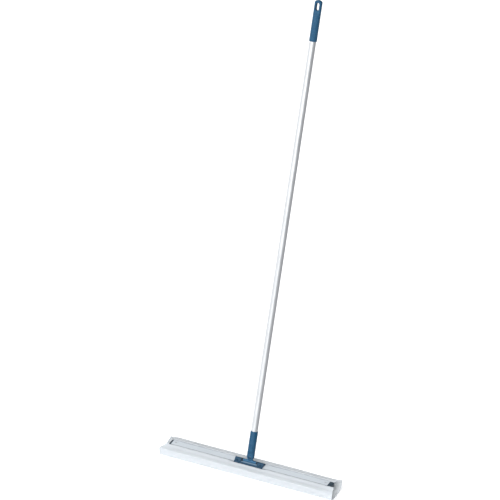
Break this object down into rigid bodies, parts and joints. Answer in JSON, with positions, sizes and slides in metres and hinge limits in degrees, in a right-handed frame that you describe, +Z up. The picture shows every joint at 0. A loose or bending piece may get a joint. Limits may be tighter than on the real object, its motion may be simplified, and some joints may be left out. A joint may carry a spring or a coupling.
{
  "type": "dust mop",
  "caption": "Wide flat dust mop: a cloth-wrapped head with a foam sole on an extruded frame, joined to a long leaning tube handle by a two-axis swivel joint, with a hanging eye in the grip.",
  "frame": {"origin": "middle of the sole, on the floor", "axes": "+Z up from the floor, +X along the head towards its right end, -Y to the front; the handle leans back towards +Y"},
  "size_m": [0.6, 0.5291, 1.4482],
  "materials": {
    "tube": "satin anodised",
    "frame_paint": "white powder coat",
    "blue_plastic": "moulded satin",
    "navy_plastic": "moulded satin",
    "black_nylon": "matte",
    "steel": "zinc plated",
    "strip_vinyl": "soft matte",
    "foam": "closed-cell foam",
    "cloth": "soft nonwoven"
  },
  "bodies": {
    "handle": {"pole": "tube", "grip": "blue_plastic", "ferrule": "blue_plastic", "ferrule_screw": "steel", "tilt_pin": "steel", "tilt_pin_ring": "steel"},
    "yoke": {"yoke": "blue_plastic"},
    "head": {"base_bracket": "blue_plastic", "axle_rod": "steel", "axle_washers": "black_nylon", "axle_caps": "navy_plastic", "base_screws": "steel", "nut_plate": "steel", "frame_rail": "frame_paint", "end_cap_left": "navy_plastic", "end_cap_right": "navy_plastic", "end_cap_screws": "steel", "strip_front": "strip_vinyl", "strip_back": "strip_vinyl", "sole_pad": "foam", "dust_cloth": "cloth"}
  },
  "joints": [
    {"name": "handle_tilt", "type": "hinge", "parent": "handle", "child": "yoke", "pos_m": [0, 0.00437, 0.05327], "axis": [0, 0.9461, -0.3239], "range_deg": [-65, 65]},
    {"name": "head_swing", "type": "hinge", "parent": "yoke", "child": "head", "pos_m": [0, 0, 0.0405], "axis": [1, 0, 0], "range_deg": [-83.9, 46.1]}
  ]
}
